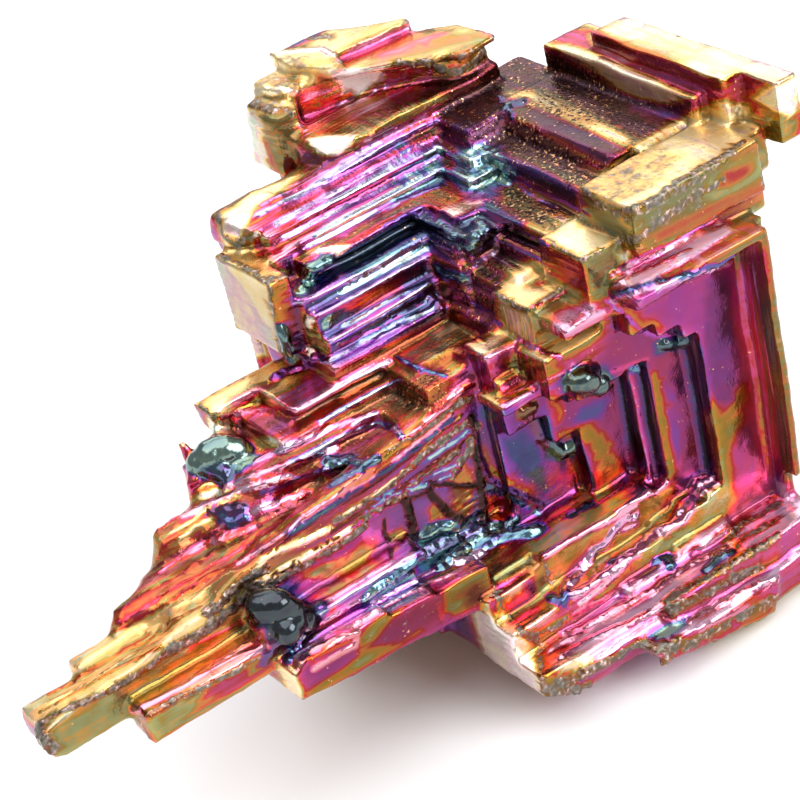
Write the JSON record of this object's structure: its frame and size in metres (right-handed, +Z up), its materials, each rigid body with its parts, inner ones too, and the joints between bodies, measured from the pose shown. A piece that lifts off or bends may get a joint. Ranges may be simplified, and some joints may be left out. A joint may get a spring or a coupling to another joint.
{
  "type": "bismuth crystal",
  "caption": "Bismuth hopper crystal cluster with square stepped funnels, overhanging lips and a long tapering arm, covered with a rainbow oxide film.",
  "frame": {"origin": "centre of the bounding box's bottom face, on the plane that the crystal rests on", "axes": "X, Y and Z are the three growth directions of the crystal. +Z points up, the front funnel faces -Y and the long arm runs out along -X."},
  "size_m": [0.0538, 0.034, 0.0341],
  "materials": {
    "oxide_film": "bare crystalline metal under a thin iridescent oxide film, gold and cream on top, magenta, violet and olive on the sides, smooth on the faces and rough on the edges"
  },
  "bodies": {
    "root": {"bismuth_crystal": "oxide_film"}
  },
  "joints": []
}
